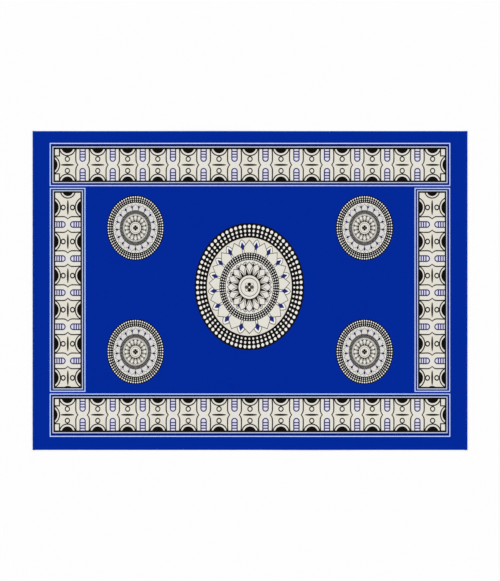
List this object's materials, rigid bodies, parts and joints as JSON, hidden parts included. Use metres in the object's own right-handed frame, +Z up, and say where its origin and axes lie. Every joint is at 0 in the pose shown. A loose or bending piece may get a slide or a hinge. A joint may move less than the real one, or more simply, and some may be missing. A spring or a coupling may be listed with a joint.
{
  "type": "khanga",
  "caption": "Oblong printed cotton wrap cloth laid out flat, with narrow hems on its short ends, border bands and round rosettes on a blue ground.",
  "frame": {"origin": "centre of the underside, on the surface that the cloth lies on", "axes": "+X along the long selvedges to the right, +Y towards the top of the print, +Z up out of the printed face"},
  "size_m": [1.5, 1.1, 0.0026],
  "materials": {
    "printed_cotton": "matte",
    "hem_thread": "matte"
  },
  "bodies": {
    "root": {"cloth": "printed_cotton"}
  },
  "joints": []
}
